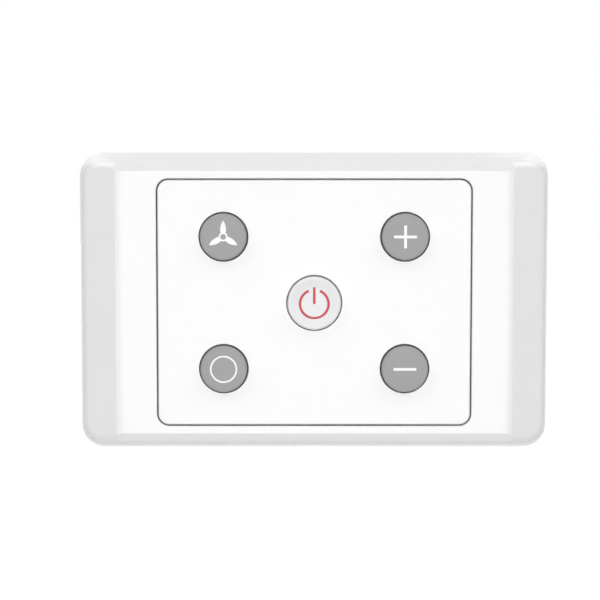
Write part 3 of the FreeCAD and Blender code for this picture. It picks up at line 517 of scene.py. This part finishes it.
class FANCONTROL_OT_cover_plate(bpy.types.Operator):
    """Models the clip-on cover: drafted walls, four soft bevels that meet in mitres, and the window"""

    bl_idname = "fan_control.cover_plate"
    bl_label = "Cover Plate"

    def execute(self, context):
        size = context.scene.fan_cover
        lowest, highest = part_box("cover_plate")
        width, height, front = highest.x - lowest.x, highest.z - lowest.z, lowest.y
        panel_low, panel_high = front_part("grid_plate", -size.side_depth)
        window_width = panel_high.x - panel_low.x + 2 * size.window_gap
        window_height = panel_high.z - panel_low.z + 2 * size.window_gap

        slope = size.side_draft / size.side_depth
        cover = add_rounded_block(width, height, size.corner, front, 0, slope * -front)
        self.cut_bevels(cover, size, width / 2, height / 2, front)

        ceiling = -size.side_depth
        cavity = add_rounded_block(
            width - 2 * size.wall, height - 2 * size.wall, size.corner - size.wall,
            ceiling, 0, slope * -ceiling,
        )
        self.open_rim(cavity, slope)
        combine(cover, cavity, "DIFFERENCE")

        lip_back = ceiling + size.lip_depth
        lip = add_rounded_block(
            window_width + 2 * size.lip_width, window_height + 2 * size.lip_width,
            size.window_corner + size.lip_width, (front + ceiling) / 2, lip_back,
        )
        combine(cover, lip, "UNION")
        self.cut_window(cover, size, window_width, window_height, front, lip_back)

        for side in (-1, 1):
            for end in (-1, 1):
                self.add_catch(cover, size, side * size.catch_spacing / 2, end, height / 2)
        pry = add_block(
            (-size.pry_width / 2, -size.pry_depth, lowest.z - size.wall),
            (size.pry_width / 2, size.pry_depth, lowest.z + size.wall),
        )
        combine(cover, pry, "DIFFERENCE")
        finish = moulded(
            "cover_white", context.scene.fan_finishes.cover,
            roughness=(0.21, 0.27), grain=0.00035, relief=0.0000012, mottle=0.006, ior=1.58,
        )
        finish_piece(cover, "cover_plate_moulding", "base", finish, COVER_SMOOTH)
        self.even_normals(cover)
        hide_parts("cover_plate")
        return {"FINISHED"}

    def cut_bevels(self, cover, size, half_width, half_height, front):
        """Slices off the bevels, then rounds their edges with finer slices.

        A slice is a plane, kept as its outward normal and its distance from the origin.
        """
        walls = [
            (face.normal.copy(), face.normal.dot(face.center))
            for face in cover.data.polygons if abs(face.normal.y) < 0.5
        ]
        run, rise = size.side_bevel, -front - size.side_depth
        side_crease = half_width - size.side_draft - run
        end_crease = half_height - size.end_inset
        crease_drop = size.roll * math.tan(size.roll_slope / 2)
        face = (Vector((0, -1, 0)), -front)
        with editing(cover):
            for side in (-1, 1):
                bevel = self.plane((side * side_crease, front + crease_drop, 0), (side * rise, -run, 0))
                self.slice_off(bevel)
                self.roll_off(size, side, side_crease - size.roll, front)
                for wall in walls:
                    normal = wall[0]
                    if side * normal.x > -TINY:
                        share = abs(normal.z) / math.hypot(normal.x, normal.z)
                        radius = size.shoulder + (size.end_roll - size.shoulder) * share
                        self.round_between(bevel, wall, radius, SIDE_EDGE_STEPS)
            for end in (-1, 1):
                end_bevel = self.plane((0, front, end * end_crease), (0, -run, end * rise))
                self.slice_off(end_bevel)
                self.round_between(face, end_bevel, size.end_crease, CREASE_STEPS)
                end_wall = max(walls, key=lambda wall: end * wall[0].z)
                self.round_between(end_bevel, end_wall, size.shoulder, END_EDGE_STEPS)

    def plane(self, point, normal):
        """The slice through a point, from an outward normal of any length."""
        normal = Vector(normal).normalized()
        return normal, normal.dot(Vector(point))

    def roll_off(self, size, side, start, front):
        """Lets the face curve down towards a side crease."""
        radius = size.roll / math.sin(size.roll_slope)
        for step in range(1, ROLL_STEPS + 1):
            tilt = size.roll_slope * step / ROLL_STEPS
            across, down = radius * math.sin(tilt), radius * (1 - math.cos(tilt))
            normal = (side * math.sin(tilt), -math.cos(tilt), 0)
            self.slice_off(self.plane((side * (start + across), front + down, 0), normal))

    def round_between(self, first, second, radius, steps):
        """Slices along a round edge between two planes that are already cut."""
        (one, one_far), (other, other_far) = first, second
        lean = one.dot(other)
        scale = 1 / (1 - lean**2)
        one_share = ((one_far - radius) - lean * (other_far - radius)) * scale
        other_share = ((other_far - radius) - lean * (one_far - radius)) * scale
        centre = one * one_share + other * other_share
        for step in range(1, steps + 1):
            normal = one.slerp(other, step / (steps + 1))
            self.slice_off((normal, normal.dot(centre) + radius))

    def slice_off(self, plane):
        """Cuts off and closes what lies outside a plane."""
        normal, distance = plane
        bpy.ops.mesh.select_all(action="SELECT")
        bpy.ops.mesh.bisect(
            plane_co=normal * distance, plane_no=normal, use_fill=True, clear_outer=True, threshold=TINY
        )

    def open_rim(self, cavity, slope):
        """Runs the cavity on past the rim, at the same draft."""
        overrun = 0.001
        lowest, highest = Vector(cavity.bound_box[0]), Vector(cavity.bound_box[6])
        with editing(cavity):
            pick(cavity, "faces", faces_wall)
            bpy.ops.mesh.extrude_region_move(TRANSFORM_OT_translate={"value": (0, overrun, 0)})
            grow = 2 * slope * overrun
            scale = (1 + grow / (highest.x - lowest.x), 1, 1 + grow / (highest.z - lowest.z))
            bpy.ops.transform.resize(value=scale, center_override=(0, overrun, 0))

    def cut_window(self, cover, size, width, height, front, back):
        """Cuts the window through the front and the lip, and rounds its front edge."""
        window = add_rounded_block(width, height, size.window_corner, 2 * front, back - front)
        combine(cover, window, "DIFFERENCE")
        inside_x, inside_z = width / 2 + TINY, height / 2 + TINY
        with editing(cover):
            pick(cover, "edges", lambda edge: all(
                vertex.co.y < front + TINY and abs(vertex.co.x) < inside_x and abs(vertex.co.z) < inside_z
                for vertex in edge.verts
            ))
            bpy.ops.mesh.bevel(offset=size.window_edge, segments=WINDOW_EDGE_STEPS, affect="EDGES")

    def add_catch(self, cover, size, across, end, half_height):
        """One catch on the inside of a long wall, rooted in the wall."""
        rim = half_height - size.wall
        root, nose = end * (rim + size.wall / 4), end * (rim - size.catch_nose)
        catch = add_block(
            (across - size.catch_width / 2, -size.catch_gap - size.catch_depth, min(root, nose)),
            (across + size.catch_width / 2, -size.catch_gap, max(root, nose)),
        )
        combine(cover, catch, "UNION")

    def even_normals(self, cover):
        """Lets the flat faces keep their shading right up to the roundings."""
        modifier = cover.modifiers.new("normals", "WEIGHTED_NORMAL")
        modifier.keep_sharp = True
        apply_modifier(cover, modifier)


class FANCONTROL_OT_panel(bpy.types.Operator):
    """Takes the raised panel from the frame and opens its button holes to their full clearance"""

    bl_idname = "fan_control.panel"
    bl_label = "Panel"

    def execute(self, context):
        size = context.scene.fan_buttons
        hole_back = (size.flange_front + size.flange_back) / 2
        panel = bpy.data.objects.new("panel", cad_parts["grid_plate"].data.copy())
        context.scene.collection.objects.link(panel)
        make_active(panel)
        bpy.ops.mesh.customdata_custom_splitnormals_clear()
        with editing(panel):
            bpy.ops.mesh.select_all(action="SELECT")
            bpy.ops.mesh.remove_doubles(threshold=TINY)
        for button in BUTTONS:
            radius, face = cap_face(button, size)
            hole = add_disc(radius + size.clearance, face, hole_back, *axis_of(button))
            combine(panel, hole, "DIFFERENCE")
        finish = moulded(
            "panel_white", context.scene.fan_finishes.panel,
            roughness=(0.21, 0.27), grain=0.0003, relief=0.0000012, mottle=0.006, ior=1.58,
        )
        finish_piece(panel, "grid_plate_moulding", "base", finish, PANEL_SMOOTH)
        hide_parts("grid_plate")
        return {"FINISHED"}


class FANCONTROL_OT_button_caps(bpy.types.Operator):
    """Models the five button caps, each with its flange, stem and key, and dishes the power cap"""

    bl_idname = "fan_control.button_caps"
    bl_label = "Button Caps"

    def execute(self, context):
        size = context.scene.fan_buttons
        finishes = context.scene.fan_finishes
        grey = moulded("cap_grey", finishes.grey_cap, (0.46, 0.56), grain=0.00018, relief=0.000003)
        white = moulded("cap_white", finishes.white_cap, (0.40, 0.50), grain=0.00018, relief=0.000002)
        outer_cap = self.turn_cap(size, "fan")
        for button in BUTTONS:
            if button == "power":
                cap, finish, slot = self.turn_cap(size, button), white, "cap_white"
            else:
                cap, finish, slot = copy_of(outer_cap), grey, "cap_grey"
            place(cap, *axis_of(button))
            finish_piece(cap, f"{button}_cap_moulding", f"{button}_button", finish, CAP_SMOOTH)
            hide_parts(f"{button}_cap")
        bpy.data.objects.remove(outer_cap)
        return {"FINISHED"}

    def turn_cap(self, size, button):
        """A round cap with its square flange, cross stem and key, still on the Y axis."""
        lowest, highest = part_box(f"{button}_cap")
        radius, face = cap_face(button, size)
        half = (highest.x - lowest.x) / 2
        middle = (size.flange_front + size.flange_back) / 2
        cap = add_disc(radius, face, middle)
        if button == "power":
            self.dish(cap, size, radius, face)
        with editing(cap):
            rim = radius - TINY
            pick(cap, "edges", lambda edge: all(
                v.co.y < face + TINY and math.hypot(v.co.x, v.co.z) > rim for v in edge.verts
            ))
            bpy.ops.mesh.bevel(offset=size.edge, segments=CAP_EDGE_STEPS, affect="EDGES")
        flange = add_block((-half, size.flange_front, -half), (half, size.flange_back, half))
        with editing(flange):
            pick(flange, "edges", runs_deep)
            bpy.ops.mesh.bevel(offset=size.flange_corner, segments=1, affect="EDGES")
        combine(cap, flange, "UNION")
        for wide, tall in ((size.stem, size.stem_rib), (size.stem_rib, size.stem)):
            rib = add_block((-wide / 2, middle, -tall / 2), (wide / 2, highest.y, tall / 2))
            combine(cap, rib, "UNION")
        key = add_block(
            (-size.key_width / 2, size.flange_front - size.key_tall, -radius - size.key_reach),
            (size.key_width / 2, middle, -radius / 2),
        )
        combine(cap, key, "UNION")
        return cap

    def dish(self, cap, size, radius, face):
        """Presses a flat-bottomed dish into the face, and rounds its two edges."""
        dish_edge = radius - size.edge - size.dish_rim
        with editing(cap):
            pick(cap, "faces", faces_user)
            bpy.ops.mesh.inset(thickness=radius - dish_edge, use_even_offset=True)
            bpy.ops.mesh.inset(thickness=dish_edge - size.dish_floor, use_even_offset=True)
            bpy.ops.transform.translate(value=(0, size.dish, 0))
            for level, ring in ((face, dish_edge), (face + size.dish, size.dish_floor)):
                slack = ring / 50
                pick(cap, "edges", lambda edge: all(
                    abs(v.co.y - level) < TINY and abs(math.hypot(v.co.x, v.co.z) - ring) < slack
                    for v in edge.verts
                ))
                bpy.ops.mesh.bevel(offset=size.dish_rim, segments=DISH_EDGE_STEPS, affect="EDGES")


class FANCONTROL_OT_fan_mark(bpy.types.Operator):
    """Prints the three-bladed fan on its button"""

    bl_idname = "fan_control.fan_mark"
    bl_label = "Fan Mark"

    def execute(self, context):
        size = context.scene.fan_marks
        front, back = print_levels("fan", size)
        mark = add_disc(size.hub, front, back)
        blade = self.make_blade(size, front, back)
        for third in (1, 2):
            another = copy_of(blade)
            place(another, 0, 0, third * 2 * math.pi / 3)
            combine(mark, another, "UNION")
        combine(mark, blade, "UNION")
        combine(mark, add_disc(size.hub_hole, 2 * front, 0), "DIFFERENCE")
        finish_mark(mark, "fan", "fan_print", "legend_white")
        return {"FINISHED"}

    def make_blade(self, size, front, back):
        """A pointed blade, where two round blocks overlap."""
        half_width, half_length = size.blade_width / 2, size.blade_root / 2
        radius = (half_length**2 + half_width**2) / (2 * half_width)
        middle = size.blade_tip - half_length
        blade = add_disc(radius, front, back, half_width - radius, middle)
        combine(blade, add_disc(radius, 2 * front, 0, radius - half_width, middle), "INTERSECT")
        return blade


class FANCONTROL_OT_speed_marks(bpy.types.Operator):
    """Prints plus and minus on their buttons"""

    bl_idname = "fan_control.speed_marks"
    bl_label = "Plus And Minus Marks"

    def execute(self, context):
        size = context.scene.fan_marks
        for button in ("plus", "minus"):
            front, back = print_levels(button, size)
            mark = self.make_bar(size, front, back)
            if button == "plus":
                upright = self.make_bar(size, front, back)
                place(upright, 0, 0, math.pi / 2)
                combine(mark, upright, "UNION")
            finish_mark(mark, button, f"{button}_print", "legend_white")
        return {"FINISHED"}

    def make_bar(self, size, front, back):
        half_length, half_width = size.bar_length / 2, size.bar_width / 2
        bar = add_block((-half_length, front, -half_width), (half_length, back, half_width))
        with editing(bar):
            pick(bar, "edges", runs_deep)
            bpy.ops.mesh.bevel(offset=size.bar_width / 5, segments=BAR_CORNER_STEPS, affect="EDGES")
        return bar


class FANCONTROL_OT_light_mark(bpy.types.Operator):
    """Prints the ring on the lamp's button"""

    bl_idname = "fan_control.light_mark"
    bl_label = "Light Mark"

    def execute(self, context):
        size = context.scene.fan_marks
        front, back = print_levels("light", size)
        mark = add_ring(size.ring, size.ring_width, front, back)
        finish_mark(mark, "light", "light_print", "legend_white")
        return {"FINISHED"}


class FANCONTROL_OT_power_mark(bpy.types.Operator):
    """Prints the power symbol on the floor of the power cap's dish"""

    bl_idname = "fan_control.power_mark"
    bl_label = "Power Mark"

    def execute(self, context):
        size = context.scene.fan_marks
        dish = context.scene.fan_buttons.dish
        front, back = (level + dish for level in print_levels("power", size))
        mark = add_ring(size.power_ring, size.power_width, front, back, size.power_opening)
        place(mark, 0, 0, -math.pi / 2 - size.power_opening)
        half = size.power_width / 2
        bar = add_block((-half, front, 0), (half, back, size.power_bar))
        with editing(bar):
            pick(bar, "edges", runs_deep)
            bpy.ops.mesh.bevel(offset=half / 2, segments=BAR_CORNER_STEPS, affect="EDGES")
        combine(mark, bar, "UNION")
        place(mark, 0, -size.power_drop)
        finish_mark(mark, "power", "power_print", "legend_red")
        return {"FINISHED"}


def print_levels(button, size):
    """Front and back level of the print on a cap."""
    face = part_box(f"{button}_cap")[0].y
    return face - size.proud, face + size.sunk


def finish_mark(mark, button, name, slot):
    """Puts a mark on its button, in the ink of its slot."""
    finishes = bpy.context.scene.fan_finishes
    if slot == "legend_red":
        colour, roughness = finishes.red_ink, (0.42, 0.58)
    else:
        colour, roughness = finishes.white_ink, (0.20, 0.30)
    ink = bpy.data.materials.get(slot) or printed_ink(slot, colour, roughness)
    place(mark, *axis_of(button))
    finish_piece(mark, name, f"{button}_button", ink, PRINT_SMOOTH)


def dress(material, *nodes):
    """Gives CAD nodes a material."""
    for name in nodes:
        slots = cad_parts[name].material_slots
        for slot in slots:
            slot.material = material
        if not slots:
            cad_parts[name].data.materials.append(material)


class FANCONTROL_OT_mouldings(bpy.types.Operator):
    """Finishes the rear housing and the terminal block"""

    bl_idname = "fan_control.mouldings"
    bl_label = "Housing And Terminal Block"

    def execute(self, context):
        housing, terminal = context.scene.fan_finishes.housing, (0.10, 0.11, 0.12)
        dress(
            spark_eroded("housing_plastic", housing, (0.5, 0.62), grain=0.00045, relief=0.00002),
            "rear_housing",
        )
        dress(
            spark_eroded("terminal_plastic", terminal, (0.42, 0.55), grain=0.0004, relief=0.000012),
            "terminal_block",
        )
        return {"FINISHED"}


class FANCONTROL_OT_metal_parts(bpy.types.Operator):
    """Finishes the screws and the wire clamps"""

    bl_idname = "fan_control.metal_parts"
    bl_label = "Screws And Clamps"

    def execute(self, context):
        screws = [f"clamp_screw_{way}" for way in TERMINAL_WAYS] + ["housing_screw_1", "housing_screw_2"]
        dress(plated_steel("screw_steel"), *screws)
        dress(machined_brass("clamp_brass"), *[f"wire_clamp_{way}" for way in TERMINAL_WAYS])
        return {"FINISHED"}


class FANCONTROL_OT_electrics(bpy.types.Operator):
    """Finishes the circuit board, its switches and its components"""

    bl_idname = "fan_control.electrics"
    bl_label = "Board And Components"

    def execute(self, context):
        dress(board_laminate("board_laminate", context.scene.fan_finishes.board), "circuit_board")
        black = (0.012, 0.012, 0.013)
        plungers = [f"{button}_plunger" for button in BUTTONS]
        switches = [f"{button}_switch" for button in BUTTONS]
        smooth = (
            ("plunger_plastic", (0.02, 0.02, 0.02), (0.35, 0.5), 0.0002, 0.000003, plungers),
            ("lamp_clear", (0.8, 0.12, 0.10), (0.1, 0.2), 0.0004, 0.000002, ["indicator_lamp"]),
            ("relay_case", (0.01, 0.05, 0.22), (0.25, 0.4), 0.0003, 0.000003, ["fan_relay", "light_relay"]),
            (
                "film_capacitor_case", (0.68, 0.42, 0.02), (0.28, 0.4), 0.0003, 0.000003,
                ["speed_capacitor_1", "speed_capacitor_2"],
            ),
            ("capacitor_sleeve", (0.01, 0.013, 0.035), (0.2, 0.3), 0.0006, 0.000004, ["smoothing_capacitor"]),
            ("fuse_case", (0.09, 0.035, 0.015), (0.4, 0.55), 0.0002, 0.000003, ["fuse"]),
            ("suppressor_coating", (0.01, 0.06, 0.28), (0.2, 0.34), 0.0005, 0.00001, ["surge_suppressor"]),
        )
        pitted = (
            ("switch_case", black, (0.4, 0.55), 0.0002, 0.000005, switches),
            ("chip_case", black, (0.5, 0.65), 0.00015, 0.000004, ["controller_chip", "rectifier"]),
        )
        for plastic, cases in ((moulded, smooth), (spark_eroded, pitted)):
            for name, colour, roughness, grain, relief, nodes in cases:
                dress(plastic(name, colour, roughness, grain, relief), *nodes)
        return {"FINISHED"}


class FANCONTROL_OT_stage(bpy.types.Operator):
    """Sets the floor, the light from all round, the softboxes and the camera"""

    bl_idname = "fan_control.stage"
    bl_label = "Stage"

    def execute(self, context):
        settings = context.scene.fan_stage
        context.scene.view_settings.view_transform = "Standard"
        self.add_floor(settings)
        self.set_world(context, settings)
        self.add_softbox("front_softbox", (0, -1.0, -0.05), 0.74, settings.front_radiance)
        self.add_softbox("back_softbox", (0, 1.0, -0.03), 0.5, settings.back_radiance)
        for side, across in (("left", -1), ("right", 1)):
            self.add_softbox(f"{side}_softbox", (across * 0.60, -0.35, 0.72), 0.6, settings.side_radiance)
            self.add_softbox(f"{side}_top_softbox", (across * 0.52, 0.38, 0.76), 0.65, settings.top_radiance)
            self.add_softbox(f"{side}_rim_light", (across * 0.33, 0.87, 0.33), 0.35, settings.rim_radiance)
        self.add_camera(context, settings)
        return {"FINISHED"}

    def seen_rays(self, nodes, links):
        """One for a ray from the camera, a reflection or a transmission, nought for the light on things."""
        path = nodes.new("ShaderNodeLightPath")
        result = path.outputs["Is Camera Ray"]
        for kind in ("Is Glossy Ray", "Is Transmission Ray"):
            either = nodes.new("ShaderNodeMath")
            either.operation = "MAXIMUM"
            links.new(result, either.inputs[0])
            links.new(path.outputs[kind], either.inputs[1])
            result = either.outputs[0]
        return result

    def add_floor(self, settings):
        """A wide pale floor that looks white where light reaches it, and takes the object's shadow."""
        deselect()
        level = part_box("cover_plate")[0].z - settings.floor_drop
        bpy.ops.mesh.primitive_plane_add(size=FLOOR_WIDTH, location=(0, 0, level))
        apply_place()
        floor = bpy.context.object
        floor.name = "floor"
        finish = Finish("floor_paint", (0.6, 0.6, 0.6), 0.9)
        finish.mottle(finish.noise(0.4, detail=3), 0.01)
        finish.bump(finish.noise(0.003), 0.00002)
        nodes, links = finish.nodes, finish.material.node_tree.links
        glow = nodes.new("ShaderNodeEmission")
        glow.inputs["Strength"].default_value = FLOOR_GLOW
        added = nodes.new("ShaderNodeAddShader")
        seen = nodes.new("ShaderNodeMixShader")
        output = nodes["Material Output"]
        links.new(finish.shader.outputs[0], added.inputs[0])
        links.new(glow.outputs[0], added.inputs[1])
        links.new(self.seen_rays(nodes, links), seen.inputs[0])
        links.new(finish.shader.outputs[0], seen.inputs[1])
        links.new(added.outputs[0], seen.inputs[2])
        links.new(seen.outputs[0], output.inputs["Surface"])
        floor.data.materials.append(finish.material)

    def set_world(self, context, settings):
        world = bpy.data.worlds.new("white_room")
        context.scene.world = world
        world.use_nodes = True
        nodes, links = world.node_tree.nodes, world.node_tree.links
        light = nodes["Background"]
        light.inputs["Color"].default_value = (1, 1, 1, 1)
        light.inputs["Strength"].default_value = settings.ambient
        backdrop = nodes.new("ShaderNodeBackground")
        backdrop.inputs["Color"].default_value = (1, 1, 1, 1)
        backdrop.inputs["Strength"].default_value = 1
        mix = nodes.new("ShaderNodeMixShader")
        links.new(self.seen_rays(nodes, links), mix.inputs[0])
        links.new(light.outputs[0], mix.inputs[1])
        links.new(backdrop.outputs[0], mix.inputs[2])
        links.new(mix.outputs[0], nodes["World Output"].inputs["Surface"])

    def add_softbox(self, name, where, across, radiance):
        """A round lamp that faces the object, at a radiance that its size doesn't change."""
        deselect()
        bpy.ops.object.light_add(type="AREA", location=where)
        lamp = bpy.context.object
        lamp.name = name
        lamp.rotation_euler = Vector(where).to_track_quat("Z", "Y").to_euler()
        lamp.data.shape = "DISK"
        lamp.data.size = across
        lamp.visible_camera = False
        lamp.data.energy = radiance * math.pi * (math.pi * (across / 2) ** 2)

    def add_camera(self, context, settings):
        aim = Vector((settings.aim_across, 0, settings.aim_up))
        back = Vector((0, -math.cos(settings.pitch), math.sin(settings.pitch)))
        deselect()
        bpy.ops.object.camera_add(
            location=aim + settings.distance * back, rotation=(math.pi / 2 - settings.pitch, 0, 0)
        )
        camera = bpy.context.object
        camera.data.lens = settings.lens
        camera.data.sensor_width = SENSOR_WIDTH
        camera.data.clip_start = NEAREST_SEEN
        context.scene.camera = camera


PROPERTY_GROUPS = {
    "fan_cover": CoverSizes,
    "fan_buttons": ButtonSizes,
    "fan_marks": MarkSizes,
    "fan_finishes": Finishes,
    "fan_stage": StageSettings,
}
OPERATORS = (
    FANCONTROL_OT_stage,
    FANCONTROL_OT_cover_plate,
    FANCONTROL_OT_panel,
    FANCONTROL_OT_button_caps,
    FANCONTROL_OT_fan_mark,
    FANCONTROL_OT_speed_marks,
    FANCONTROL_OT_light_mark,
    FANCONTROL_OT_power_mark,
    FANCONTROL_OT_mouldings,
    FANCONTROL_OT_metal_parts,
    FANCONTROL_OT_electrics,
)


class FANCONTROL_PT_builder(bpy.types.Panel):
    """Lists the pieces of the fan control and the sizes they are made to"""

    bl_label = "Fan Control"
    bl_idname = "FANCONTROL_PT_builder"
    bl_space_type = "VIEW_3D"
    bl_region_type = "UI"
    bl_category = "Fan Control"

    def draw(self, context):
        layout = self.layout
        for operator in OPERATORS:
            layout.operator(operator.bl_idname)
        for name, group in PROPERTY_GROUPS.items():
            box = layout.box()
            for prop in group.__annotations__:
                box.prop(getattr(context.scene, name), prop)


CLASSES = (*PROPERTY_GROUPS.values(), *OPERATORS, FANCONTROL_PT_builder)


def register():
    for cls in CLASSES:
        bpy.utils.register_class(cls)
    for name, group in PROPERTY_GROUPS.items():
        setattr(bpy.types.Scene, name, bpy.props.PointerProperty(type=group))


def unregister():
    for name in PROPERTY_GROUPS:
        delattr(bpy.types.Scene, name)
    for cls in reversed(CLASSES):
        bpy.utils.unregister_class(cls)


def main():
    register()
    bpy.ops.fan_control.stage()
    bpy.ops.fan_control.cover_plate()
    bpy.ops.fan_control.panel()
    bpy.ops.fan_control.button_caps()
    bpy.ops.fan_control.fan_mark()
    bpy.ops.fan_control.speed_marks()
    bpy.ops.fan_control.light_mark()
    bpy.ops.fan_control.power_mark()
    bpy.ops.fan_control.mouldings()
    bpy.ops.fan_control.metal_parts()
    bpy.ops.fan_control.electrics()


if __name__ == "__main__":
    main()
